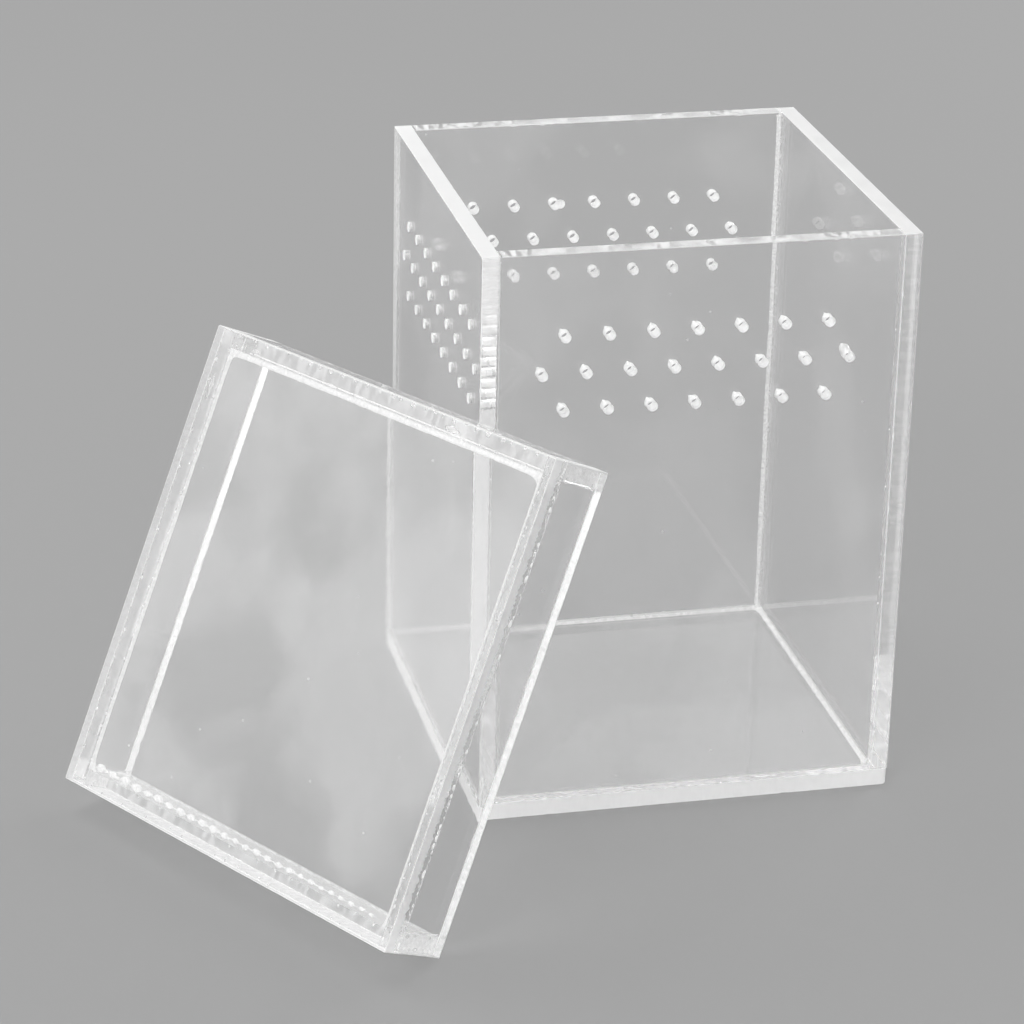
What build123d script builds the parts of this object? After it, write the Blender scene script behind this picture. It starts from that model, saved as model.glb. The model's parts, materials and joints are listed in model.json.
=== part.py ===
"""A queen cage of clear acrylic sheet: a vented box, open at the top, and a loose cap lid that leans on it.

The origin is the centre of the box's underside, with +X to the right along the front wall, +Y to the back
and +Z up. Flat sheets are cemented edge to face, and each cement seam is a thin solid of its own.
"""

from math import cos, radians, sin, sqrt
import os

from build123d import *

os.makedirs("parts", exist_ok=True)

# Box, in millimetres
width = 73.0
depth = 71.5
height = 100.0
sheet = 3.0
seam = 0.1
floor_corner = 0.8

# Vent holes: three staggered rows near the rim, the middle row one hole longer than the others
vent_diameter = 1.8
vent_pitch = 7.35
side_vent_pitch = 7.1
vent_row_gap = vent_pitch * sqrt(3) / 2
vent_top_drop = 14.3
wall_vents = 8
side_wall_vents = 9
wall_vent_shift = -0.5
side_vent_shift = -2.0
back_vents_lower = 0.9

# Lid: a plate with a skirt of four strips, which slips over the box's rim
lid_clearance = 0.75
skirt_drop = 10.0
lid_corner = 0.3

# Where the lid leans: its foot on the ground, its upper rim edge against the box's front left edge
lid_lean = 25.8
lid_turn = -58.2
lid_gap = 0.35
lean_point = 50.0

# Worked out from the above
wall_bottom = sheet + seam
wall_height = height - wall_bottom
between_sides = width - 2 * sheet - 2 * seam
side_x = (width - sheet) / 2
wall_y = (depth - sheet) / 2
corner_seam_x = between_sides / 2 + seam / 2
middle_row_z = height - vent_top_drop - vent_row_gap

lid_length = width + 2 * lid_clearance + 2 * sheet
lid_breadth = depth + 2 * lid_clearance + 2 * sheet
strip_height = skirt_drop - seam
between_strips = lid_breadth - 2 * sheet - 2 * seam
long_strip_y = (lid_breadth - sheet) / 2
short_strip_x = (lid_length - sheet) / 2
lid_seam_y = between_strips / 2 + seam / 2


def finish_part(part, name):
    """Names a finished piece and writes its file."""
    part.label = name
    export_step(part, f"parts/{name}.step")


def vent_spots(pitch, longest_row, shift):
    """The vent holes' centres in a wall's own plane, across and up from the middle of the middle row."""
    spots = []
    for row in (-1, 0, 1):
        count = longest_row - abs(row)
        spots += [(shift + (i - (count - 1) / 2) * pitch, row * vent_row_gap) for i in range(count)]
    return spots


def leaning_lid_plane():
    """The plane of the lid's open rim where it leans: x up the slope, z out through the plate."""
    turn = radians(lid_turn)
    lean = radians(lid_lean)
    along_foot = Vector(cos(turn), sin(turn), 0)
    to_box = Vector(-sin(turn), cos(turn), 0)
    up_slope = to_box * sin(lean) + Vector(0, 0, cos(lean))
    box_edge = Vector(-width / 2, -depth / 2, lid_length * cos(lean))
    touch = box_edge - to_box * lid_gap
    upper_middle = touch + along_foot * (lid_breadth / 2 - lean_point)
    return Plane(
        origin=upper_middle - up_slope * (lid_length / 2),
        x_dir=up_slope,
        z_dir=along_foot.cross(up_slope),
    )


# Floor: a square plate under all four walls
with BuildPart() as floor_panel:
    with BuildSketch(Plane.XY):
        RectangleRounded(width, depth, floor_corner)
    extrude(amount=sheet)
finish_part(floor_panel.part, "floor_panel")

# Left wall: full depth, with vents along its upper part
with BuildPart() as left_wall:
    with BuildSketch(Plane.XY.offset(wall_bottom)):
        with Locations((-side_x, 0)):
            Rectangle(sheet, depth)
    extrude(amount=wall_height)
    with BuildSketch(Plane(origin=(-width / 2, 0, middle_row_z), x_dir=(0, 1, 0), z_dir=(1, 0, 0))):
        with Locations(*vent_spots(side_vent_pitch, side_wall_vents, side_vent_shift)):
            Circle(vent_diameter / 2)
    extrude(amount=sheet, mode=Mode.SUBTRACT)
finish_part(left_wall.part, "left_wall")

# Right wall: full depth, with no vents
with BuildPart() as right_wall:
    with BuildSketch(Plane.XY.offset(wall_bottom)):
        with Locations((side_x, 0)):
            Rectangle(sheet, depth)
    extrude(amount=wall_height)
finish_part(right_wall.part, "right_wall")

# Front and back walls: the same vented panel, set between the side walls, the back's vents drilled a little lower
for name, y, vents_z in (
    ("front_wall", -wall_y, middle_row_z),
    ("back_wall", wall_y, middle_row_z - back_vents_lower),
):
    with BuildPart() as cross_wall:
        with BuildSketch(Plane.XY.offset(wall_bottom)):
            with Locations((0, y)):
                Rectangle(between_sides, sheet)
        extrude(amount=wall_height)
        with BuildSketch(Plane(origin=(0, y - sheet / 2, vents_z), x_dir=(-1, 0, 0), z_dir=(0, 1, 0))):
            with Locations(*vent_spots(vent_pitch, wall_vents, -wall_vent_shift)):
                Circle(vent_diameter / 2)
        extrude(amount=sheet, mode=Mode.SUBTRACT)
    finish_part(cross_wall.part, name)

# Cement seams up the four corners of the box
for side_name, side in (("left", -1), ("right", 1)):
    for end_name, end in (("front", -1), ("back", 1)):
        with BuildPart() as corner_seam:
            with BuildSketch(Plane.XY.offset(wall_bottom)):
                with Locations((side * corner_seam_x, end * wall_y)):
                    Rectangle(seam, sheet)
            extrude(amount=wall_height)
        finish_part(corner_seam.part, f"{end_name}_{side_name}_seam")

# Cement seams between the side walls and the floor
for name, x in (("left_floor_seam", -side_x), ("right_floor_seam", side_x)):
    with BuildPart() as side_floor_seam:
        with BuildSketch(Plane.XY.offset(sheet)):
            with Locations((x, 0)):
                Rectangle(sheet, depth - 2 * floor_corner)
        extrude(amount=seam)
    finish_part(side_floor_seam.part, name)

# Cement seams between the front and back walls and the floor
for name, y in (("front_floor_seam", -wall_y), ("back_floor_seam", wall_y)):
    with BuildPart() as cross_floor_seam:
        with BuildSketch(Plane.XY.offset(sheet)):
            with Locations((0, y)):
                Rectangle(between_sides, sheet)
        extrude(amount=seam)
    finish_part(cross_floor_seam.part, name)

lid_rim = leaning_lid_plane()

# Lid plate
with BuildPart() as lid_plate:
    with BuildSketch(lid_rim.offset(skirt_drop)):
        RectangleRounded(lid_length, lid_breadth, lid_corner)
    extrude(amount=sheet)
finish_part(lid_plate.part, "lid_plate")

# Long skirt strips, along the lid's front and back edges
for name, y in (("lid_front_strip", -long_strip_y), ("lid_back_strip", long_strip_y)):
    with BuildPart() as long_strip:
        with BuildSketch(lid_rim):
            with Locations((0, y)):
                Rectangle(lid_length, sheet)
        extrude(amount=strip_height)
    finish_part(long_strip.part, name)

# Short skirt strips, set between the long ones
for name, x in (("lid_left_strip", -short_strip_x), ("lid_right_strip", short_strip_x)):
    with BuildPart() as short_strip:
        with BuildSketch(lid_rim):
            with Locations((x, 0)):
                Rectangle(sheet, between_strips)
        extrude(amount=strip_height)
    finish_part(short_strip.part, name)

# Cement seams in the skirt's four corners
for side_name, side in (("left", -1), ("right", 1)):
    for end_name, end in (("front", -1), ("back", 1)):
        with BuildPart() as skirt_seam:
            with BuildSketch(lid_rim):
                with Locations((side * short_strip_x, end * lid_seam_y)):
                    Rectangle(sheet, seam)
            extrude(amount=strip_height)
        finish_part(skirt_seam.part, f"lid_{end_name}_{side_name}_seam")

# Cement seams between the plate and the long strips
for name, y in (("lid_front_plate_seam", -long_strip_y), ("lid_back_plate_seam", long_strip_y)):
    with BuildPart() as long_plate_seam:
        with BuildSketch(lid_rim.offset(strip_height)):
            with Locations((0, y)):
                Rectangle(lid_length - 2 * lid_corner, sheet)
        extrude(amount=seam)
    finish_part(long_plate_seam.part, name)

# Cement seams between the plate and the short strips
for name, x in (("lid_left_plate_seam", -short_strip_x), ("lid_right_plate_seam", short_strip_x)):
    with BuildPart() as short_plate_seam:
        with BuildSketch(lid_rim.offset(strip_height)):
            with Locations((x, 0)):
                Rectangle(sheet, between_strips)
        extrude(amount=seam)
    finish_part(short_plate_seam.part, name)
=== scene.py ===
"""Looks for the queen cage: clear acrylic sheets with polished faces and frosted cut edges,
drilled air vents, and cemented joints with the bubbles, dry patches and squeezed-out beads
that solvent cement leaves. Every length in a mesh is in millimetres until it is written out."""
import json
import math
import random
from collections import namedtuple

import bpy
import bmesh
from mathutils import Matrix, Vector, noise
from mathutils.geometry import delaunay_2d_cdt


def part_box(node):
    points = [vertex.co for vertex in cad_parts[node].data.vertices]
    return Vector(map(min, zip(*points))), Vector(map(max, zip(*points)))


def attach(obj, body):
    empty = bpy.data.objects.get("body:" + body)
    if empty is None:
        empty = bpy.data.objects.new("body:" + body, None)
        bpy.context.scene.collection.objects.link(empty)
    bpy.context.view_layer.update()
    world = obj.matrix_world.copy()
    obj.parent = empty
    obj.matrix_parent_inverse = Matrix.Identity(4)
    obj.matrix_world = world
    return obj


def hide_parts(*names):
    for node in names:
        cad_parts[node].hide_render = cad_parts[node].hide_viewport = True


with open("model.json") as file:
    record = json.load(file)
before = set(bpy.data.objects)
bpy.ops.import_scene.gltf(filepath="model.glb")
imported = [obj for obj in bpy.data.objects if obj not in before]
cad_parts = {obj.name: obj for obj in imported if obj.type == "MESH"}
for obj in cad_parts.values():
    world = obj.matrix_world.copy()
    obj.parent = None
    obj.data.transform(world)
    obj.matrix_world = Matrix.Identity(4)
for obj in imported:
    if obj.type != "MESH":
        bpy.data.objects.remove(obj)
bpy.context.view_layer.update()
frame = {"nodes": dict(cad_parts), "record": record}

MM = 0.001
AXES = "xyz"
TOUCHING = 0.03          # two faces this close, in mm, are cemented together
OVERLAP = 1.0            # a cement film that runs along a sheet shares at least this much, in mm
VENT_MARGIN = 1.5        # no vent comes nearer than this to a sheet's border, in mm
VENT_SPACING = 3.0       # points of one sheet closer than this, in mm, belong to one vent

# ---------------------------------------------------------------- sizes of the small detail
EDGE_STEP = 0.6          # spacing of points along a cut edge
ARRIS = 0.13             # width of the broken corner along a cut edge
BONDED_ARRIS = 0.04      # the same where the edge is cemented
ARRIS_BULGE = 0.29       # how far from a rounded arris's corner its middle lies, as a share
LID_ROUND = 0.3          # rounded upright corners of the lid
FLOOR_ROUND = 0.8        # rounded corners of the box's floor
SMALL_ROUND = 0.15       # corners of the other sheets
CHIP_DEPTH = 0.22        # deepest chip along an arris
CHIPS = 3                # chips along each free edge of a sheet
VENT_POINTS = 24         # points round a vent
VENT_DEPTHS = (0.05, 0.13, 0.26, 0.4, 0.5, 0.6, 0.74, 0.87, 0.95)
VENT_SHARE = 0.94        # a drawn vent's radius, as a share of the CAD's
CRATER_SHIFT = 1.0       # how far off a vent's axis its spoilt mouth lies
CRATER_RADIUS = 0.85
SPLINTER = 0.32          # how far a torn splinter reaches past a vent's mouth
BURIED = 0.02            # how far a bead of cement sinks into the sheets it runs along
ACRYLIC_IOR = 1.49

# Transparent sheets stacked behind each other need more crossings than Blender's defaults.
light_paths = bpy.context.scene.cycles
light_paths.max_bounces = 24
light_paths.transmission_bounces = 24
light_paths.glossy_bounces = 12
light_paths.transparent_max_bounces = 64


# ---------------------------------------------------------------- frames of the two bodies
def lid_rotation():
    """Turns the lid's own directions (x up its slope, y along its foot, z out through its
    plate) into the row frame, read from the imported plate."""
    plate = frame["nodes"]["lid_plate"].data
    widest = max(plate.polygons, key=lambda face: face.area)
    out = widest.normal.copy()
    plate_low, plate_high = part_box("lid_plate")
    strip_low, strip_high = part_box("lid_front_strip")
    other_low, other_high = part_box("lid_back_strip")
    strips = (strip_low + strip_high + other_low + other_high) / 4
    if (strips - (plate_low + plate_high) / 2).dot(out) > 0:
        out.negate()
    along = Vector((out.y, -out.x, 0)).normalized()
    up = along.cross(out)
    if up.z < 0:
        along.negate()
        up.negate()
    return Matrix((up, along, out)).transposed()


BODY_FRAMES = {"cage": Matrix.Identity(3), "lid": lid_rotation()}
UNITS = (Vector((1, 0, 0)), Vector((0, 1, 0)), Vector((0, 0, 1)))


def local_points(node, body):
    """The corner points of a CAD node, in mm, in its body's own directions."""
    to_local = BODY_FRAMES[body].transposed()
    return [(to_local @ vertex.co) / MM for vertex in frame["nodes"][node].data.vertices]


def local_box(node, body):
    points = local_points(node, body)
    low = Vector([min(p[i] for p in points) for i in range(3)])
    high = Vector([max(p[i] for p in points) for i in range(3)])
    return low, high


BODIES = frame["record"]["behaviour"]["bodies"]
BODY_OF = {node: body for body, nodes in BODIES.items() for node in nodes}
BOXES = {node: local_box(node, body) for node, body in BODY_OF.items()}
SEAMS = sorted(node for node in BOXES if node.endswith("_seam"))


# ---------------------------------------------------------------- node material helpers
class Shader:
    """A material's node tree, with short calls to add nodes and join them."""

    def __init__(self, name):
        self.material = bpy.data.materials.new(name)
        self.material.use_nodes = True
        self.tree = self.material.node_tree
        self.tree.nodes.clear()
        self.place = self.add("ShaderNodeTexCoord").outputs["Object"]
        self.span = self.add("ShaderNodeUVMap", uv_map="span").outputs["UV"]
        self.path = self.add("ShaderNodeLightPath")

    def add(self, kind, inputs=None, **settings):
        made = self.tree.nodes.new(kind)
        for key, value in settings.items():
            setattr(made, key, value)
        for key, value in (inputs or {}).items():
            self.set(made, key, value)
        return made

    def set(self, made, key, value):
        socket = made.inputs[key]
        if isinstance(value, bpy.types.NodeSocket):
            self.tree.links.new(value, socket)
        else:
            socket.default_value = value

    def math(self, operation, a, b=0.0, clamp=False):
        made = self.add("ShaderNodeMath", {0: a, 1: b}, operation=operation)
        made.use_clamp = clamp
        return made.outputs[0]

    def stretch(self, source, scale):
        return self.add("ShaderNodeMapping", {"Vector": source, "Scale": scale}).outputs[0]

    def noise(self, source, scale, detail=3.0, roughness=0.55):
        inputs = {"Vector": source, "Scale": scale, "Detail": detail, "Roughness": roughness}
        return self.add("ShaderNodeTexNoise", inputs).outputs["Fac"]

    def ramp(self, value, low, high, to_low=0.0, to_high=1.0):
        inputs = {"Value": value, "From Min": low, "From Max": high,
                  "To Min": to_low, "To Max": to_high}
        made = self.add("ShaderNodeMapRange", inputs)
        made.clamp = True
        return made.outputs[0]

    def bump(self, height, strength, depth):
        inputs = {"Height": height, "Strength": strength, "Distance": depth}
        return self.add("ShaderNodeBump", inputs).outputs[0]

    def glass(self, colour, roughness, normal=None):
        inputs = {"Base Color": colour, "Roughness": roughness, "IOR": ACRYLIC_IOR,
                  "Transmission Weight": 1.0}
        if normal is not None:
            inputs["Normal"] = normal
        return self.add("ShaderNodeBsdfPrincipled", inputs).outputs[0]

    def mix(self, factor, first, second):
        return self.add("ShaderNodeMixShader", {0: factor, 1: first, 2: second}).outputs[0]

    def clear(self, shade):
        return self.add("ShaderNodeBsdfTransparent", {"Color": grey(shade)}).outputs[0]

    def white(self, shade, normal=None):
        """Light scattered back, and about half as much scattered through."""
        inputs = {"Color": grey(shade)}
        if normal is not None:
            inputs["Normal"] = normal
        back = self.add("ShaderNodeBsdfDiffuse", inputs).outputs[0]
        through = self.add("ShaderNodeBsdfTranslucent", inputs).outputs[0]
        return self.mix(0.35, back, through)

    def finish(self, surface, passed, diffuse_too=True):
        """Lets lamp light, and bounced light too unless told otherwise, cross the surface,
        dimmed to `passed` of itself."""
        rays = self.path.outputs["Is Shadow Ray"]
        if diffuse_too:
            rays = self.math("MAXIMUM", rays, self.path.outputs["Is Diffuse Ray"])
        surface = self.mix(rays, surface, self.clear(passed))
        self.add("ShaderNodeOutputMaterial", {"Surface": surface})
        return self.material


def grey(shade):
    return (shade, shade, shade, 1.0)


# ---------------------------------------------------------------- materials
def polished_acrylic(name, haze, smudge, dust, scale=21.0):
    """A sheet's moulded face: clear and glossy, with handling haze, faint smears and dust."""
    net = Shader(name)
    broad = net.noise(net.place, scale, 3.0, 0.55)
    streaks = net.noise(net.stretch(net.place, (160.0, 160.0, 35.0)), 1.0, 3.0)
    smears = net.math("MULTIPLY", net.ramp(broad, 0.47, 0.56), net.ramp(streaks, 0.2, 0.7, 0.45))
    cells = net.add("ShaderNodeTexVoronoi", {"Vector": net.place, "Scale": 420.0})
    chance = net.add("ShaderNodeSeparateColor", {0: cells.outputs["Color"]}).outputs[0]
    rare = net.ramp(chance, 1.0 - dust, 1.0 - dust + 0.001)
    specks = net.math("MULTIPLY", net.ramp(cells.outputs["Distance"], 0.1, 0.05), rare)
    veil = net.math("ADD", net.math("MULTIPLY", smears, smudge), haze)
    veil = net.math("ADD", veil, net.math("MULTIPLY", specks, 0.6), clamp=True)
    roughness = net.ramp(smears, 0.0, 1.0, 0.008, 0.05)
    hairlines = net.noise(net.stretch(net.place, (1400.0, 1400.0, 60.0)), 1.0, 2.0)
    normal = net.bump(hairlines, 0.01, 0.0002)
    body = net.glass(grey(0.995), roughness, normal)
    return net.finish(net.mix(veil, body, net.white(0.9)), 0.95)


def cut_edge(name, frost, contrast, roughness, relief=0.12, painted_highlight_above=None, wet=None):
    """A sawn edge: frosted, with fine marks across the sheet's thickness and clearer spells.
    `frost` is the share of white scatter, `contrast` how much it varies along the edge, and
    `relief` the strength of the marks.
    `painted_highlight_above` is a height, in metres, under which the frost thins out, so the whiter
    upper part of the edge is a painted highlight. `wet` is how far, in mm, cement has run up the
    edge from the sheet's low face and cleared it."""
    net = Shader(name)
    marks = net.noise(net.stretch(net.span, (3.4, 0.5, 1.0)), 1.0, 3.0, 0.65)
    spells = net.noise(net.stretch(net.span, (1.0, 0.3, 1.0)), 1.0, 2.0, 0.5)
    mottle = net.math("ADD", net.math("MULTIPLY", marks, 0.3), net.math("MULTIPLY", spells, 0.7))
    share = net.ramp(mottle, 0.45, 0.56, max(frost - contrast, 0.0), min(frost + contrast, 1.0))
    # Painted highlight: the white frost thins out below the given height, so the edge looks lit
    # from above.
    if painted_highlight_above is not None:
        height = net.add("ShaderNodeSeparateXYZ", {0: net.place}).outputs[2]
        fade = net.ramp(height, painted_highlight_above - 0.002, painted_highlight_above + 0.003, 0.05, 1.0)
        share = net.math("MULTIPLY", share, fade)
    rough = net.ramp(mottle, 0.35, 0.65, roughness * 0.8, min(roughness * 1.2, 1.0))
    if wet is not None:
        height = net.add("ShaderNodeSeparateXYZ", {0: net.span}).outputs[1]
        run = net.noise(net.stretch(net.span, (0.9, 0.0, 1.0)), 1.0, 2.0, 0.6)
        level = net.math("SUBTRACT", height, net.math("MULTIPLY", run, 2 * wet))
        dry = net.ramp(level, -0.04, 0.08, 0.04, 1.0)
        share = net.math("MULTIPLY", share, dry)
        rough = net.math("MULTIPLY", rough, dry)
    normal = net.bump(marks, relief, 0.0001)
    body = net.glass(grey(0.97), rough, normal)
    return net.finish(net.mix(share, body, net.white(0.9, normal)), 0.6, False)


def bore_wall(name, painted_glint=False):
    """The wall of a drilled vent: whitened by the drill, with rings from its lips.
    With `painted_glint`, the whitening thins out with depth from the sheet's low face and its white
    is brighter: a painted glint at the outer mouth."""
    net = Shader(name)
    rings = net.noise(net.stretch(net.span, (0.25, 5.0, 1.0)), 1.0, 3.0, 0.7)
    blotches = net.noise(net.stretch(net.span, (1.1, 0.9, 1.0)), 1.0, 2.0)
    share = net.ramp(net.math("MULTIPLY", rings, blotches), 0.14, 0.34, 0.6, 0.95)
    # Painted glint: the white is strongest at the outer mouth and fades with depth.
    if painted_glint:
        depth = net.add("ShaderNodeSeparateXYZ", {0: net.span}).outputs[1]
        share = net.math("MULTIPLY", share, net.ramp(depth, 0.7, 2.0, 1.0, 0.25))
    normal = net.bump(rings, 0.5, 0.0001)
    body = net.glass(grey(0.97), net.ramp(rings, 0.3, 0.7, 0.2, 0.5), normal)
    # A brighter white for the painted glint.
    shade = 0.95 if painted_glint else 0.85
    return net.finish(net.mix(share, body, net.white(shade, normal)), 0.7, False)


def bonded_face(name, milk=None):
    """A face cemented to its neighbour: the two sheets are one clear body there, and `milk` is
    the share of white where the cement dried cloudy."""
    net = Shader(name)
    surface = net.clear(1.0)
    if milk is not None:
        share = net.ramp(net.noise(net.place, 1300.0, 2.0), 0.4, 0.65, milk - 0.2, milk)
        surface = net.mix(share, surface, net.white(0.9))
    return net.finish(surface, 1.0)


def cement(name, milk, roughness, wave=0.06, shade=0.9):
    """Set solvent cement: clear, slightly wavy, and milky where it dried thin."""
    net = Shader(name)
    waves = net.noise(net.place, 500.0, 2.0)
    share = net.ramp(net.noise(net.place, 1300.0, 2.0), 0.4, 0.65, max(milk - 0.25, 0.0), milk)
    normal = net.bump(waves, wave, 0.0003)
    rough = net.ramp(waves, 0.3, 0.7, roughness * 0.5, roughness * 1.6)
    body = net.glass(grey(0.98), rough, normal)
    return net.finish(net.mix(share, body, net.white(shade, normal)), 0.9)


def pale_floor(name):
    net = Shader(name)
    mottle = net.noise(net.place, 2.5, 4.0)
    grain = net.noise(net.place, 900.0, 2.0)
    shades = {0: mottle, 6: grey(0.25), 7: grey(0.262)}
    colours = net.add("ShaderNodeMix", shades, data_type="RGBA")
    inputs = {"Base Color": colours.outputs[2], "Roughness": 0.8,
              "Normal": net.bump(grain, 0.1, 0.0001)}
    body = net.add("ShaderNodeBsdfPrincipled", inputs).outputs[0]
    net.add("ShaderNodeOutputMaterial", {"Surface": body})
    return net.material


POLISHED = polished_acrylic("polished_acrylic", 0.03, 0.07, 0.03)
HANDLED = polished_acrylic("handled_acrylic", 0.03, 0.13, 0.05, 26.0)
EVEN = cut_edge("sawn_edge_even", 0.8, 0.1, 0.5)
MOTTLED = cut_edge("sawn_edge_mottled", 0.55, 0.42, 0.4)
# The left wall's front end: frosted whiter on its upper part, a painted highlight, and clearer
# below.
SOFT_PAINTED_HIGHLIGHT = cut_edge("sawn_edge_soft_painted_highlight", 0.75, 0.1, 0.1, 0.04, 0.0875)
THIN = cut_edge("sawn_edge_thin", 0.08, 0.06, 0.05, 0.02)
WETTED = cut_edge("sawn_edge_wetted", 0.55, 0.15, 0.4, wet=1.1)
DULL = cut_edge("sawn_edge_dull", 0.35, 0.2, 0.35)
FLAMED = cut_edge("flamed_edge", 0.3, 0.05, 0.1, 0.02)
WHITE = cut_edge("sawn_edge_white", 0.93, 0.05, 0.55)
BORE = bore_wall("drilled_bore")
# The left wall's vents: a painted glint at the outer mouth, fading along the bore.
GLINT_PAINTED_BORE = bore_wall("drilled_bore_painted_glint", True)
BOND = bonded_face("bonded_face")
CLOUDY_BOND = bonded_face("bonded_cloudy", 0.8)
CEMENT = cement("cement_clear", 0.35, 0.05)
BUBBLE = cement("cement_bubble", 0.35, 0.05, 0.15)
DROP = cement("cement_drop", 0.92, 0.1, 0.06, 0.98)
FILLET = cement("cement_fillet", 0.97, 0.2, 0.03, 0.98)
MILKY = cement("cement_milky", 0.9, 0.3, 0.2)


# ---------------------------------------------------------------- mesh writing
def add_object(name, data):
    made = bpy.data.objects.new(name, data)
    bpy.context.scene.collection.objects.link(made)
    return made


class Shell:
    """Points, faces, each face's material and span coordinates of one piece, in mm."""

    def __init__(self):
        self.points = []
        self.faces = []
        self.finishes = []
        self.spans = []
        self.smooth = []

    def point(self, place):
        self.points.append(Vector(place))
        return len(self.points) - 1

    def face(self, corners, finish, spans=None, smooth=False):
        self.faces.append(tuple(corners))
        self.finishes.append(finish)
        self.spans.append(spans or [(0.0, 0.0)] * len(corners))
        self.smooth.append(smooth)

    def ribbon(self, lower, upper, finish, across, along, smooth=False):
        """Quads between two closed rings of points. `across` holds the two rings' second
        span coordinate, and `along` the distance round the ring."""
        count = len(lower)
        for i in range(count):
            j = (i + 1) % count
            here, after = along[i], along[i + 1]
            named = finish(i) if callable(finish) else finish
            spans = [(here, across[0]), (after, across[0]), (after, across[1]), (here, across[1])]
            self.face((lower[i], lower[j], upper[j], upper[i]), named, spans, smooth)

    def write(self, name, body, outward=False):
        """Makes the piece, in metres in the row frame, riding on its body."""
        turn = BODY_FRAMES[body]
        mesh = bpy.data.meshes.new(name)
        mesh.from_pydata([(turn @ p) * MM for p in self.points], [], self.faces)
        used = list(dict.fromkeys(self.finishes))
        for finish in used:
            mesh.materials.append(finish)
        spans = mesh.uv_layers.new(name="span")
        for polygon, finish, corners, smooth in zip(
                mesh.polygons, self.finishes, self.spans, self.smooth):
            polygon.material_index = used.index(finish)
            polygon.use_smooth = smooth
            for loop, corner in zip(polygon.loop_indices, corners):
                spans.data[loop].uv = corner
        if outward:
            work = bmesh.new()
            work.from_mesh(mesh)
            bmesh.ops.recalc_face_normals(work, faces=work.faces)
            work.to_mesh(mesh)
            work.free()
        mesh.update()
        piece = add_object(name, mesh)
        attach(piece, body)
        return piece


# ---------------------------------------------------------------- sheets
def thin_axis(low, high):
    return min(range(3), key=lambda i: high[i] - low[i])


def sheet_axes(low, high):
    """The sheet's two long directions u, v and its thickness w, in cyclic order."""
    w = thin_axis(low, high)
    return (w + 1) % 3, (w + 2) % 3, w


def touching_seams(sheet):
    """Where cement touches a sheet: sides named like "+x", and rectangles on its faces."""
    low, high = BOXES[sheet]
    u, v, w = sheet_axes(low, high)
    sides, patches = set(), []
    for seam in SEAMS:
        if BODY_OF[seam] != BODY_OF[sheet]:
            continue
        seam_low, seam_high = BOXES[seam]
        axis = thin_axis(seam_low, seam_high)
        others = [i for i in range(3) if i != axis]
        if any(seam_low[i] > high[i] - OVERLAP or seam_high[i] < low[i] + OVERLAP for i in others):
            continue
        for sign, gap in (("+", seam_low[axis] - high[axis]), ("-", low[axis] - seam_high[axis])):
            if abs(gap) > TOUCHING:
                continue
            if axis == w:
                patches.append((sign, (seam_low[u], seam_high[u], seam_low[v], seam_high[v])))
            else:
                sides.add(sign + AXES[axis])
    return sides, patches


def marks_between(low, high, step, stops):
    """Evenly spaced values from low to high that also include every stop."""
    stops = sorted({low, high, *[s for s in stops if low + 0.3 < s < high - 0.3]})
    values = []
    for start, end in zip(stops, stops[1:]):
        pieces = max(1, round((end - start) / step))
        values += [start + (end - start) * i / pieces for i in range(pieces)]
    return values + [high]


def outline(low_u, high_u, low_v, high_v, corner, stops_u, stops_v):
    """Points round a sheet: (place, inward normal, side number, distance along the side, the
    side's length), with `corner` as the radius of its corners."""
    points = []
    sides = (
        ((low_u, low_v), (1, 0), high_u - low_u, [s - low_u for s in stops_u]),
        ((high_u, low_v), (0, 1), high_v - low_v, [s - low_v for s in stops_v]),
        ((high_u, high_v), (-1, 0), high_u - low_u, [high_u - s for s in stops_u]),
        ((low_u, high_v), (0, -1), high_v - low_v, [high_v - s for s in stops_v]),
    )
    turns = 4
    for number, (start, way, length, stops) in enumerate(sides):
        inward = (-way[1], way[0])
        for reach in marks_between(corner, length - corner, EDGE_STEP, stops):
            place = (start[0] + way[0] * reach, start[1] + way[1] * reach)
            points.append((place, inward, number, reach, length))
        end = (start[0] + way[0] * length, start[1] + way[1] * length)
        centre = (end[0] - way[0] * corner + inward[0] * corner,
                  end[1] - way[1] * corner + inward[1] * corner)
        for k in range(1, turns):
            angle = math.pi / 2 * k / turns
            outward = (-inward[0] * math.cos(angle) + way[0] * math.sin(angle),
                       -inward[1] * math.cos(angle) + way[1] * math.sin(angle))
            place = (centre[0] + outward[0] * corner, centre[1] + outward[1] * corner)
            points.append((place, (-outward[0], -outward[1]), number, length, length))
    return points


def arris_width(base, seed, reach, length, chips):
    """How wide the broken corner is at a distance along an edge, with a few chips."""
    place = Vector((reach * 0.9, seed * 7.3, 0.0))
    width = base * (1 + 0.3 * noise.noise(place * 1.7) + 0.25 * noise.noise(place * 4.1))
    end_room = min(reach, length - reach)
    for at, size, half in chips:
        if abs(reach - at) < half:
            width += size * (1 - abs(reach - at) / half) * min(1.0, end_room / 2)
    return max(width, 0.02)


def chips_along(draw, length, many):
    """Where each chip is along an edge, its depth, and half its length."""
    return [(draw.uniform(2, length - 2), draw.uniform(0.1, CHIP_DEPTH), draw.uniform(0.5, 1.3))
            for _ in range(many)]


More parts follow.
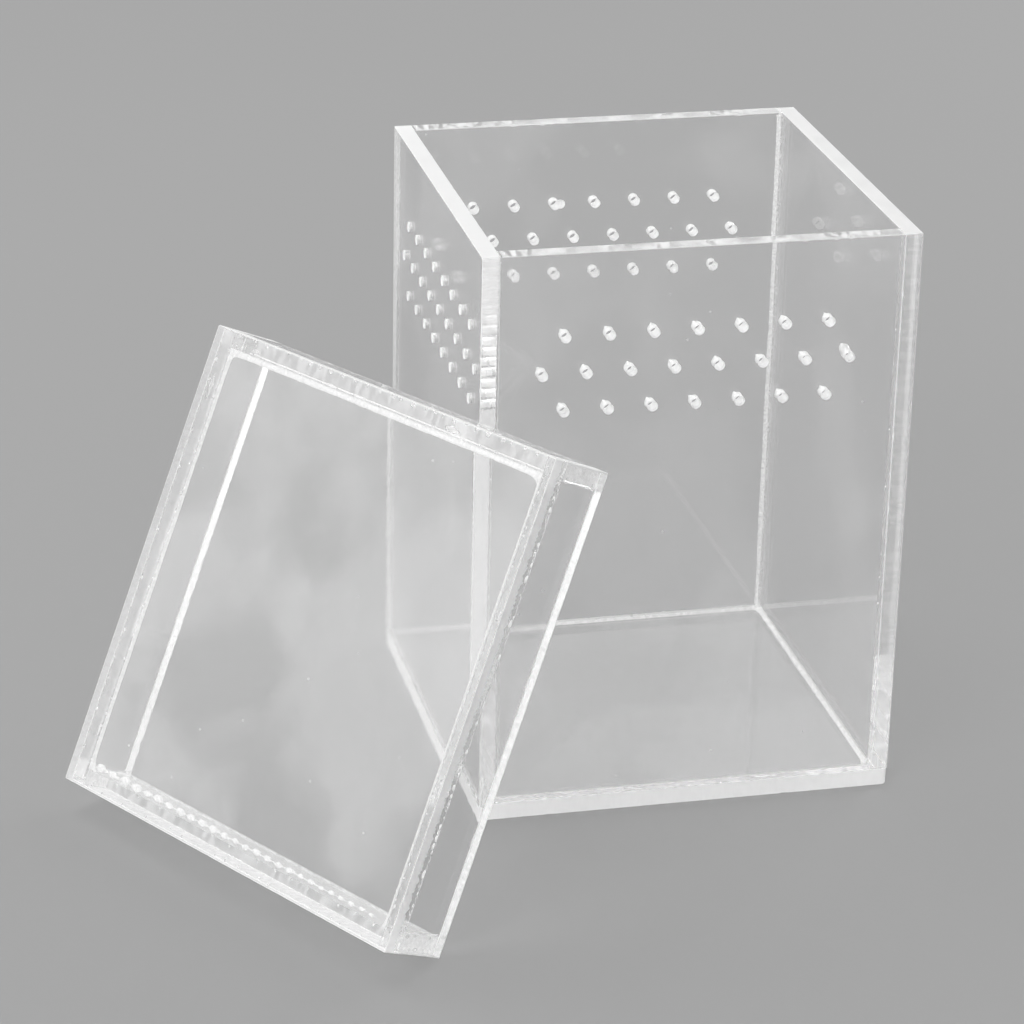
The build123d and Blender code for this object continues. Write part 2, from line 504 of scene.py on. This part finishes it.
def find_vents(sheet):
    """Centre and radius of each round hole in a packed wall, in its u, v directions."""
    low, high = BOXES[sheet]
    u, v, w = sheet_axes(low, high)
    groups = []
    for p in local_points(sheet, BODY_OF[sheet]):
        border = min(p[u] - low[u], high[u] - p[u], p[v] - low[v], high[v] - p[v])
        if border < VENT_MARGIN or high[w] - p[w] > 0.01:
            continue
        spot = Vector((p[u], p[v]))
        for group in groups:
            if (spot - group[0]).length < VENT_SPACING:
                group.append(spot)
                break
        else:
            groups.append([spot])
    vents = []
    for group in groups:
        across = [(min(q[i] for q in group), max(q[i] for q in group)) for i in range(2)]
        centre = Vector([(a + b) / 2 for a, b in across])
        vents.append((centre, (across[0][1] - across[0][0]) / 2))
    return vents


def crater_reach(angle, toward, shift, radius, plain):
    """Radius of a round mouth joined by a second, off-centre crater."""
    turn = angle - toward
    inside = radius ** 2 - (shift * math.sin(turn)) ** 2
    if inside <= 0:
        return plain
    return max(plain, shift * math.cos(turn) + math.sqrt(inside))


class Vent:
    """One drilled hole: its outline at each depth, ragged at both mouths. `spoilt` is the
    direction of a second crater and whether it is in the high face, and `torn` the direction
    of a splinter at the high face."""

    def __init__(self, centre, radius, seed, spoilt=None, torn=None):
        self.centre = centre
        self.radius = radius
        self.seed = seed
        self.spoilt = spoilt
        self.torn = torn

    def reach(self, angle, depth):
        """Radius at an angle and a depth from 0, the low face, to 1, the high face."""
        on_circle = Vector((math.cos(angle), math.sin(angle), self.seed * 3.7))
        edge = min(depth, 1 - depth)
        ridge = 0.025 * math.sin(depth * 34 + angle + self.seed)
        ragged = 0.03 + 0.12 * max(0.0, noise.noise(on_circle * 2.3 + Vector((0, 0, depth * 40))))
        mouth = max(0.0, 1 - edge / 0.1)
        value = self.radius * VENT_SHARE + ridge + ragged * mouth
        if self.spoilt is not None:
            toward, high_side = self.spoilt
            near = depth if high_side else 1 - depth
            if near > 0.6:
                wide = crater_reach(angle, toward, CRATER_SHIFT, CRATER_RADIUS, value)
                value += (wide - value) * min(1.0, (near - 0.6) / 0.3)
        if self.torn is not None and depth > 0.7:
            # the drill tore a splinter out of the high face as it broke through
            turn = (angle - self.torn + math.pi) % (2 * math.pi) - math.pi
            value += SPLINTER * math.exp(-(turn / 0.2) ** 2) * (depth - 0.7) / 0.3
        return value

    def ring(self, depth):
        spots = []
        for k in range(VENT_POINTS):
            angle = 2 * math.pi * k / VENT_POINTS
            reach = self.reach(angle, depth)
            spots.append(self.centre + Vector((math.cos(angle), math.sin(angle))) * reach)
        return spots


def in_a_vent(spot, vents, depth):
    for vent in vents:
        away = spot - vent.centre
        if away.length < VENT_SPACING:
            angle = math.atan2(away.y, away.x)
            if away.length < vent.reach(angle, depth) * 0.985:
                return True
    return False


def fill_face(outer, lines, vents, depth):
    """Triangulates a sheet's face between its outline, its cement lines and its vents. Gives
    the points, the triangles, where each point that was put in ended up, and the number of
    each vent's first point."""
    spots = list(outer)
    edges = [(i, (i + 1) % len(outer)) for i in range(len(outer))] + lines
    firsts = []
    for vent in vents:
        first = len(spots)
        firsts.append(first)
        spots += vent.ring(depth)
        edges += [(first + i, first + (i + 1) % VENT_POINTS) for i in range(VENT_POINTS)]
    places, _, triangles, origins, *_ = delaunay_2d_cdt(spots, edges, [], 1, 1e-5, True)
    position = {}
    for index, came_from in enumerate(origins):
        for origin in came_from:
            position[origin] = index
    kept = []
    for triangle in triangles:
        middle = sum((places[i] for i in triangle), Vector((0, 0))) / len(triangle)
        if not in_a_vent(middle, vents, depth):
            kept.append(triangle)
    return places, kept, position, firsts


class Sheet:
    """One acrylic sheet, built around its CAD node. `sides` gives the finish of each cut side,
    keyed like "+z", and the faces have the finish `face`, except the `milled_face`, "-" or "+",
    which looks sawn. `rounded_ends` holds (side, face) pairs whose shared edge is rounded as
    wide as the lid's upright corners. `spoilt` numbers the vents with a second crater, from
    the top row down, and `torn` is the direction of every vent's splinter."""

    def __init__(self, name, sides, corner=SMALL_ROUND, rounded_ends=(), face=POLISHED,
                 milled_face=None, bore=BORE, spoilt=None, torn=None):
        self.name = name
        self.sides = sides
        self.corner = corner
        self.rounded_ends = rounded_ends
        self.face = face
        self.milled_face = milled_face
        self.bore = bore
        self.low, self.high = BOXES[name]
        self.axes = sheet_axes(self.low, self.high)
        u, v, w = self.axes
        self.thickness = self.high[w] - self.low[w]
        self.side_names = ["-" + AXES[v], "+" + AXES[u], "+" + AXES[v], "-" + AXES[u]]
        self.bonded, self.patches = touching_seams(name)
        self.stops = ([patch[i] for _, patch in self.patches for i in (0, 1)],
                      [patch[i] for _, patch in self.patches for i in (2, 3)])
        self.ring = outline(self.low[u], self.high[u], self.low[v], self.high[v], corner,
                            *self.stops)
        self.shell = Shell()
        self.draw = random.Random(name)
        self.chip_rows = self.draw_chips()
        self.vents = self.draw_vents(spoilt or {}, torn)

    def place(self, spot, height):
        """A point in mm from its u, v spot and its height through the sheet."""
        u, v, w = (UNITS[axis] for axis in self.axes)
        return u * spot[0] + v * spot[1] + w * height

    def draw_chips(self):
        """Chips along each side, for each of the two faces."""
        u, v, _ = self.axes
        rows = {}
        for number, side in enumerate(self.side_names):
            along = u if number % 2 == 0 else v
            length = self.high[along] - self.low[along]
            many = 0 if side in self.bonded else CHIPS
            for face in "-+":
                rows[number, face] = chips_along(self.draw, length, many)
        return rows

    def draw_vents(self, spoilt, torn):
        def reading_order(found):
            spot = self.place(found[0], 0.0)
            return -round(spot.z, 1), spot.x, spot.y

        vents = []
        for index, (centre, radius) in enumerate(sorted(find_vents(self.name), key=reading_order)):
            seed = self.draw.uniform(0, 50)
            splinter = torn + self.draw.uniform(-0.25, 0.25) if torn else None
            vents.append(Vent(centre, radius, seed, spoilt.get(index), splinter))
        return vents

    def side_finish(self, i):
        side = self.side_names[self.ring[i][2]]
        if side in self.bonded:
            return BOND
        return self.sides.get(side, EVEN)

    def arris_finish(self, i):
        return self.face if self.side_finish(i) is BOND else WHITE

    def inset_ring(self, face):
        """The outline drawn in by the arris, and how far the arris runs down the edge."""
        spots, drops = [], []
        for spot, inward, number, reach, length in self.ring:
            side = self.side_names[number]
            base = BONDED_ARRIS if side in self.bonded else ARRIS
            if (side, face) in self.rounded_ends:
                base = LID_ROUND
            seed = number + (4 if face == "+" else 0) + len(self.name)
            width = arris_width(base, seed, reach, length, self.chip_rows[number, face])
            drops.append(width if base == LID_ROUND else width * 0.85)
            if reach >= length:
                width = min(width, 0.9 * max(self.corner, 0.1))
            spots.append(Vector((spot[0] + inward[0] * width, spot[1] + inward[1] * width)))
        return spots, drops

    def cement_lines(self):
        """Pairs of outline points joined by the straight borders of the cemented bands."""
        pairs = []
        for axis in (0, 1):
            for stop in set(self.stops[axis]):
                ends = [i for i, (spot, _, number, reach, length) in enumerate(self.ring)
                        if abs(spot[axis] - stop) < 1e-4 and number % 2 == axis
                        and reach < length]
                if len(ends) == 2:
                    pairs.append(tuple(ends))
        return pairs

    def add_face(self, face):
        """One broad face and its arris. Gives the face's border, the middle and the foot of
        the arris, and the vents' mouths, as point numbers."""
        high_side = face == "+"
        height = (self.high if high_side else self.low)[self.axes[2]]
        spots, drops = self.inset_ring(face)
        places, triangles, position, firsts = fill_face(
            spots, self.cement_lines(), self.vents, 1.0 if high_side else 0.0)
        base = len(self.shell.points)
        for spot in places:
            self.shell.point(self.place(spot, height))
        bands = [patch for sign, patch in self.patches if sign == face]
        bare = EVEN if face == self.milled_face else self.face
        for triangle in triangles:
            middle = sum((places[i] for i in triangle), Vector((0, 0))) / 3
            stuck = any(a < middle.x < b and c < middle.y < d for a, b, c, d in bands)
            corners = [base + i for i in triangle]
            spans = [(places[i].x, places[i].y) for i in triangle]
            if not high_side:
                corners.reverse()
                spans.reverse()
            self.shell.face(corners, BOND if stuck else bare, spans)
        border = [base + position[i] for i in range(len(self.ring))]
        mouths = [[base + position[first + i] for i in range(VENT_POINTS)] for first in firsts]
        inward = -1 if high_side else 1
        middle_ring, foot_ring = [], []
        for (spot, *_), inner, drop in zip(self.ring, spots, drops):
            spot = Vector(spot)
            toward = spot + (inner - spot) * ARRIS_BULGE
            bulge = self.place(toward, height + inward * drop * ARRIS_BULGE)
            middle_ring.append(self.shell.point(bulge))
            foot_ring.append(self.shell.point(self.place(spot, height + inward * drop)))
        return border, middle_ring, foot_ring, mouths

    def add_edges(self, low_rings, high_rings):
        along = [0.0]
        for here, after in zip(self.ring, self.ring[1:] + self.ring[:1]):
            along.append(along[-1] + (Vector(after[0]) - Vector(here[0])).length)
        low_border, low_middle, low_foot = low_rings
        high_border, high_middle, high_foot = high_rings
        deep = self.thickness
        bands = (
            (low_border, low_middle, self.arris_finish, (0.0, 0.05)),
            (low_middle, low_foot, self.arris_finish, (0.05, 0.1)),
            (low_foot, high_foot, self.side_finish, (0.1, deep - 0.1)),
            (high_foot, high_middle, self.arris_finish, (deep - 0.1, deep - 0.05)),
            (high_middle, high_border, self.arris_finish, (deep - 0.05, deep)),
        )
        for lower, upper, finish, across in bands:
            self.shell.ribbon(lower, upper, finish, across, along)

    def add_bore(self, vent, bottom, top):
        """The wall of one vent, in rings from the low face's mouth to the high face's."""
        shift = self.draw.uniform(0, 40)
        round_it = [shift + 2 * math.pi * vent.radius * k / VENT_POINTS
                    for k in range(VENT_POINTS + 1)]
        previous, previous_depth = bottom, 0.0
        for depth in VENT_DEPTHS + (1.0,):
            if depth == 1.0:
                current = top
            else:
                height = self.low[self.axes[2]] + self.thickness * depth
                current = [self.shell.point(self.place(s, height)) for s in vent.ring(depth)]
            across = (depth * self.thickness, previous_depth * self.thickness)
            self.shell.ribbon(current, previous, self.bore, across, round_it, True)
            previous, previous_depth = current, depth

    def build(self):
        *low_rings, low_mouths = self.add_face("-")
        *high_rings, high_mouths = self.add_face("+")
        self.add_edges(low_rings, high_rings)
        for vent, bottom, top in zip(self.vents, low_mouths, high_mouths):
            self.add_bore(vent, bottom, top)
        piece = self.shell.write(self.name + "_sheet", BODY_OF[self.name], outward=True)
        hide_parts(self.name)


# ---------------------------------------------------------------- cement in the joints
def add_bubble(shell, centre, sizes, axes, finish, draw, rounds, layers):
    """A closed lump. Its faces turn inward, as on a gas pocket with the cement outside it, and
    a piece of drops turns them outward as it is written."""
    u, v, w = axes
    lumps = [1 + draw.uniform(-0.16, 0.16) for _ in range(rounds)]
    poles = [shell.point(centre - w * sizes[2]), shell.point(centre + w * sizes[2])]
    rings = []
    for layer in range(1, layers):
        angle = math.pi * layer / layers
        height, wide = -math.cos(angle), math.sin(angle) ** 0.6
        ring = []
        for k in range(rounds):
            turn = 2 * math.pi * k / rounds
            offset = (u * (math.cos(turn) * sizes[0] * wide * lumps[k])
                      + v * (math.sin(turn) * sizes[1] * wide * lumps[k]) + w * (height * sizes[2]))
            ring.append(shell.point(centre + offset))
        rings.append(ring)
    for k in range(rounds):
        after = (k + 1) % rounds
        shell.face((poles[0], rings[0][k], rings[0][after]), finish, None, True)
        for lower, upper in zip(rings, rings[1:]):
            shell.face((lower[k], upper[k], upper[after], lower[after]), finish, None, True)
        shell.face((poles[1], rings[-1][after], rings[-1][k]), finish, None, True)


def add_film(shell, low, high, axis, broad):
    """The cement film itself: its broad faces join the sheets, and its rim shows."""
    ends = (low, high)
    corners = {(i, j, k): shell.point((ends[i].x, ends[j].y, ends[k].z))
               for i in (0, 1) for j in (0, 1) for k in (0, 1)}
    for way in range(3):
        for end in (0, 1):
            quad = []
            for a, b in ((0, 0), (1, 0), (1, 1), (0, 1)):
                key = [0, 0, 0]
                key[way] = end
                key[(way + 1) % 3] = a
                key[(way + 2) % 3] = b
                quad.append(corners[tuple(key)])
            if end == 0:
                quad.reverse()
            shell.face(quad, broad if way == axis else CEMENT)


# How each joint's cement took: `outer` and `inner` are teeth of unwetted edge along its two
# borders (how many in 10 mm, half size in mm), `dry` counts larger dry patches, `milky` is the
# share of teeth that dried white, and `film` is the finish of the cement's broad faces.
SeamLook = namedtuple("SeamLook", "outer inner dry milky film", defaults=(BOND,))
PLAIN_SEAM = SeamLook((1.5, 0.16), (1.5, 0.16), 1, 0.3)
SEAM_LOOKS = {
    "lid_left_plate_seam": SeamLook((3.0, 0.2), (2.0, 0.2), 0, 0.3),
    "lid_front_plate_seam": SeamLook((8.0, 0.42), (6.0, 0.2), 2, 0.3),
    "lid_back_plate_seam": SeamLook((2.0, 0.25), (4.0, 0.2), 1, 0.5),
    "lid_right_plate_seam": SeamLook((4.0, 0.35), (2.0, 0.2), 2, 0.2),
    "lid_back_right_seam": SeamLook((3.0, 0.45), (3.0, 0.4), 0, 0.8),
    "lid_back_left_seam": SeamLook((6.0, 0.4), (6.0, 0.3), 0, 0.8, CLOUDY_BOND),
    "lid_front_left_seam": SeamLook((6.0, 0.4), (6.0, 0.3), 0, 0.8, CLOUDY_BOND),
    "lid_front_right_seam": SeamLook((4.0, 0.4), (4.0, 0.3), 0, 0.8, CLOUDY_BOND),
    "front_right_seam": SeamLook((1.0, 0.12), (2.0, 0.15), 0, 0.3),
    "back_right_seam": SeamLook((1.0, 0.15), (1.0, 0.15), 0, 0.5, CLOUDY_BOND),
    "back_left_seam": SeamLook((1.5, 0.15), (1.5, 0.15), 0, 0.5, CLOUDY_BOND),
    "front_left_seam": SeamLook((1.5, 0.15), (1.5, 0.15), 1, 0.2),
}


def body_centre(body):
    corners = [corner for node, box in BOXES.items() if BODY_OF[node] == body for corner in box]
    return sum(corners, Vector()) / len(corners)


def make_seam(name):
    low, high = BOXES[name]
    body = BODY_OF[name]
    looks = SEAM_LOOKS.get(name, PLAIN_SEAM)
    sizes = high - low
    long_way, short_way, thin_way = sorted(range(3), key=lambda i: -sizes[i])
    along, across, through = UNITS[long_way], UNITS[short_way], UNITS[thin_way]
    if along.cross(across).dot(through) < 0:
        along = -along
    axes = (along, across, through)
    length, breadth = sizes[long_way], sizes[short_way]
    middle = (low + high) / 2
    start = middle - along * (length / 2)
    outward = 1 if across.dot(middle - body_centre(body)) > 0 else -1
    draw = random.Random(name)
    shell = Shell()
    add_film(shell, low, high, thin_way, looks.film)
    for side, (per_ten, half) in ((outward, looks.outer), (-outward, looks.inner)):
        reach = 1.0
        while reach < length - 1.0:
            size = half * draw.uniform(0.55, 1.3)
            out = breadth / 2 - size * draw.uniform(1.15, 1.5)
            centre = start + along * reach + across * (side * out)
            finish = MILKY if draw.random() < looks.milky else BUBBLE
            tooth = (size * draw.uniform(0.8, 1.5), size, min(0.12, size * 0.6))
            add_bubble(shell, centre, tooth, axes, finish, draw, 9, 5)
            reach += 10 / per_ten * draw.uniform(0.6, 1.4)
    for _ in range(looks.dry):
        long_half = draw.uniform(0.8, 2.4)
        wide_half = draw.uniform(0.25, 0.55)
        reach = draw.uniform(long_half + 1, length - long_half - 1)
        centre = start + along * reach + across * draw.uniform(-0.6, 0.6)
        add_bubble(shell, centre, (long_half, wide_half, 0.045), axes, BUBBLE, draw, 16, 4)
    piece = shell.write(name.replace("_seam", "_cement"), body)
    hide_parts(name)


# ---------------------------------------------------------------- cement squeezed out
def add_bead_section(shell, corner, first, second, width):
    """A hollow arc of cement from one sheet to the other, and the corner behind it."""
    ring = [shell.point(corner)]
    steps = 4
    for step in range(steps + 1):
        angle = math.pi / 2 * step / steps
        a = width * (1 - math.sin(angle)) * 0.82 + width * 0.18 * math.cos(angle)
        b = width * (1 - math.cos(angle)) * 0.82 + width * 0.18 * math.sin(angle)
        ring.append(shell.point(corner + first * a + second * b))
    return ring


def make_bead(name, body, start, end, first, second, size, seed, finish, spread=1.6):
    """A concave fillet of cement along an inside corner, wider where it meets the next one.
    first and second are the directions along the two sheets, away from the corner."""
    shell = Shell()
    way = end - start
    length = way.length
    way.normalize()
    bury = -(first + second) * BURIED
    steps = max(2, int(length / 0.5))
    rings = []
    for i in range(steps + 1):
        reach = length * i / steps
        swell = noise.noise(Vector((reach * 0.12, seed, 0.0))) * 0.1
        swell += noise.noise(Vector((reach * 0.6, seed, 4.0))) * 0.07
        from_end = min(reach, length - reach)
        width = size * (max(0.3, 1 + swell) + spread * math.exp(-from_end / 0.9))
        rings.append(add_bead_section(shell, start + way * reach + bury, first, second, width))
    buried_finish = CLOUDY_BOND if finish is FILLET else BOND
    for before, after in zip(rings, rings[1:]):
        for k in range(len(before)):
            j = (k + 1) % len(before)
            hidden = k == 0 or j == 0
            shell.face([before[k], before[j], after[j], after[k]],
                       buried_finish if hidden else finish, None, not hidden)
    for ring in (rings[0], rings[-1]):
        shell.face(ring, finish)
    piece = shell.write(name, body, outward=True)


def make_drops(name, body, start, end, away, down, spacing, sizes, offset, fade):
    """A string of cement drops under the plate beside a strip, joined by a thin thread."""
    draw = random.Random(name)
    shell = Shell()
    way = end - start
    length = way.length
    way.normalize()
    axes = (way, away, down)
    if way.cross(away).dot(down) < 0:
        axes = (-way, away, down)
    reach = 2.5
    while reach < length - 1.5:
        size = (1 - fade * reach / length) * draw.uniform(0.82, 1.15)
        half = [value * size for value in sizes]
        centre = start + way * reach + away * (offset + draw.uniform(-0.08, 0.08))
        centre += down * (half[2] + BURIED)
        add_bubble(shell, centre, half, axes, DROP, draw, 14, 7)
        if draw.random() < 0.35:
            beside = centre + way * half[0] * 1.1 + away * draw.uniform(-0.2, 0.2)
            add_bubble(shell, beside, [value * 0.4 for value in half], axes, DROP, draw, 9, 5)
        reach += spacing * (1 - 0.6 * fade * reach / length) * draw.uniform(0.93, 1.08)
    thread = start + (end - start) / 2 + away * offset + down * 0.1
    add_bubble(shell, thread, (length / 2 - 1.5, 0.1, 0.07), axes, DROP, draw, 12, 5)
    piece = shell.write(name, body, outward=True)


def inside_corners(panel, walls, body, up_sign, feet, uprights):
    """Beads where four walls meet the panel they stand on, and where they meet each other.
    feet gives the bead's size under each wall; uprights gives the sizes up the corners, in
    the order front left, back left, front right, back right."""
    panel_low, panel_high = BOXES[panel]
    level = panel_high.z if up_sign > 0 else panel_low.z
    x_low, x_high = BOXES[walls["-x"]][1].x, BOXES[walls["+x"]][0].x
    y_low, y_high = BOXES[walls["-y"]][1].y, BOXES[walls["+y"]][0].y
    up = Vector((0, 0, up_sign))
    right, back, _ = UNITS
    runs = {
        "+x": ((x_high, y_low), (x_high, y_high), -right),
        "+y": ((x_low, y_high), (x_high, y_high), -back),
        "-x": ((x_low, y_low), (x_low, y_high), right),
        "-y": ((x_low, y_low), (x_high, y_low), back),
    }
    for seed, (side, (a, b, inward)) in enumerate(runs.items()):
        if feet[side]:
            make_bead(f"{body}_bead_{seed + 1}", body, Vector((*a, level)), Vector((*b, level)),
                      inward, up, feet[side], seed + 3.1, FILLET)
    far = BOXES[walls["-x"]][1].z if up_sign > 0 else BOXES[walls["-x"]][0].z
    corners = [(x, y) for x in (x_low, x_high) for y in (y_low, y_high)]
    for seed, (x, y) in enumerate(corners):
        start = Vector((x, y, level + up_sign * 0.3))
        end = Vector((x, y, far - up_sign * 0.4))
        toward_x = right if x == x_low else -right
        toward_y = back if y == y_low else -back
        make_bead(f"{body}_upright_bead_{seed + 1}", body, start, end, toward_x, toward_y,
                  uprights[seed], seed + 17.7, CEMENT, 0.3)
    return runs, level, up


# ---------------------------------------------------------------- build the object
def build_box():
    Sheet("floor_panel", {"-y": EVEN, "+x": EVEN, "+y": WHITE, "-x": WHITE}, FLOOR_ROUND).build()
    # The left wall's front end has a painted highlight on its upper part, and its vents a painted
    # glint at their outer mouths.
    Sheet("left_wall", {"+z": EVEN, "-y": SOFT_PAINTED_HIGHLIGHT, "+y": WHITE}, bore=GLINT_PAINTED_BORE).build()
    Sheet("right_wall", {"+z": EVEN, "-y": THIN, "+y": THIN}).build()
    Sheet("front_wall", {"+z": MOTTLED}, spoilt={14: (-0.45, True)}, torn=-0.5).build()
    Sheet("back_wall", {"+z": MOTTLED}, spoilt={2: (1.4, False)}).build()
    walls = {"-x": "left_wall", "+x": "right_wall", "-y": "front_wall", "+y": "back_wall"}
    feet = {"-x": 0.4, "+x": 0.55, "-y": 0.25, "+y": 0.45}
    inside_corners("floor_panel", walls, "cage", 1, feet, (0.12, 0.12, 0.12, 0.9))


def build_lid():
    ends = {"-x": EVEN, "+x": EVEN, "-z": FLAMED}
    front_ends, back_ends = ([(side, face) for side in ("-x", "+x")] for face in "-+")
    Sheet("lid_plate", {"-y": WETTED, "+y": WHITE}, LID_ROUND, face=HANDLED).build()
    Sheet("lid_front_strip", ends, rounded_ends=front_ends).build()
    Sheet("lid_back_strip", ends, rounded_ends=back_ends).build()
    Sheet("lid_left_strip", {"-z": DULL}, milled_face="-").build()
    Sheet("lid_right_strip", {"-z": DULL}).build()
    strips = {"-x": "lid_left_strip", "+x": "lid_right_strip",
              "-y": "lid_front_strip", "+y": "lid_back_strip"}
    feet = {"-x": None, "+x": 0.95, "-y": 0.35, "+y": 0.85}
    runs, level, up = inside_corners("lid_plate", strips, "lid", -1, feet, (0.4, 0.4, 0.4, 0.4))
    (x, y_low), (_, y_high), inward = runs["-x"]
    make_drops("lid_foot_drops", "lid", Vector((x, y_high, level)), Vector((x, y_low, level)),
               inward, up, 3.1, (1.15, 0.65, 0.42), 0.85, 0.5)
    (x_low, y), (x_high, _), inward = runs["-y"]
    make_drops("lid_side_drops", "lid", Vector((x_low, y, level)), Vector((x_high, y, level)),
               inward, up, 0.95, (0.3, 0.22, 0.2), 0.25, 0.1)


build_box()
build_lid()
for seam_name in SEAMS:
    make_seam(seam_name)


# ---------------------------------------------------------------- floor, light and camera
LIT_PLACE = Vector((0, 0, 0.05))     # the middle of the box


def add_floor():
    half = 4.0
    below = -0.0001
    corners = [(x * half, y * half, below) for x, y in ((-1, -1), (1, -1), (1, 1), (-1, 1))]
    mesh = bpy.data.meshes.new("studio_floor")
    mesh.from_pydata(corners, [], [(0, 1, 2, 3)])
    mesh.materials.append(pale_floor("studio_floor"))
    add_object("studio_floor", mesh)


def add_softbox(name, place, size, power):
    """A soft light panel facing the object, its size in metres, its power in watts."""
    data = bpy.data.lights.new(name, "AREA")
    data.shape = "RECTANGLE"
    data.size, data.size_y = size
    data.energy = power
    lamp = add_object(name, data)
    lamp.location = place
    lamp.rotation_euler = (LIT_PLACE - Vector(place)).to_track_quat("-Z", "Y").to_euler()


def add_world():
    """A backdrop as grey as the floor at the horizon, a bright band above it, a dim ceiling."""
    world = bpy.data.worlds.new("studio")
    world.use_nodes = True
    tree = world.node_tree
    tree.nodes.clear()
    place = tree.nodes.new("ShaderNodeTexCoord").outputs["Generated"]
    parts = tree.nodes.new("ShaderNodeSeparateXYZ")
    tree.links.new(place, parts.inputs[0])
    strength = tree.nodes.new("ShaderNodeMath")
    strength.operation = "MULTIPLY"
    rise = (0.03, 0.34, 0.2, 1.05)      # between two heights, the strength at each
    fall = (0.45, 0.9, 1.0, 0.25)
    for slot, ends in enumerate((rise, fall)):
        slope = tree.nodes.new("ShaderNodeMapRange")
        slope.interpolation_type = "SMOOTHSTEP"
        for key, value in zip(("From Min", "From Max", "To Min", "To Max"), ends):
            slope.inputs[key].default_value = value
        tree.links.new(parts.outputs["Z"], slope.inputs["Value"])
        tree.links.new(slope.outputs[0], strength.inputs[slot])
    glow = tree.nodes.new("ShaderNodeBackground")
    glow.inputs["Color"].default_value = grey(1.0)
    tree.links.new(strength.outputs[0], glow.inputs["Strength"])
    out = tree.nodes.new("ShaderNodeOutputWorld")
    tree.links.new(glow.outputs[0], out.inputs["Surface"])
    bpy.context.scene.world = world


def add_camera():
    """The photograph's viewpoint: azimuth, elevation and roll in degrees, place in metres."""
    azimuth, elevation, roll = (math.radians(a) for a in (13.378, 23.178, 1.217))
    forward = Vector((math.sin(azimuth) * math.cos(elevation),
                      math.cos(azimuth) * math.cos(elevation), -math.sin(elevation)))
    right = Vector((math.cos(azimuth), -math.sin(azimuth), 0.0))
    up = right.cross(forward)
    turned_right = right * math.cos(roll) + up * math.sin(roll)
    turned_up = up * math.cos(roll) - right * math.sin(roll)
    data = bpy.data.cameras.new("camera")
    data.sensor_width = 36.0
    data.lens = 124.84
    data.clip_start = 0.01
    camera = add_object("camera", data)
    pose = Matrix((turned_right, turned_up, -forward)).transposed().to_4x4()
    pose.translation = Vector((-0.15343, -0.55117, 0.28301))
    camera.matrix_world = pose
    bpy.context.scene.camera = camera


add_floor()
add_world()
add_softbox("key_top", (-0.35, 0.45, 1.1), (0.8, 0.6), 8.0)
add_softbox("fill_left", (-0.9, -0.9, 0.75), (0.7, 0.7), 10.5)
add_softbox("rim_right", (1.0, 0.6, 0.5), (0.5, 0.6), 6.0)
add_softbox("glow_left", (-1.14, 0.2, 0.31), (0.5, 0.4), 0.3)
add_camera()
bpy.context.scene.view_settings.view_transform = "Standard"
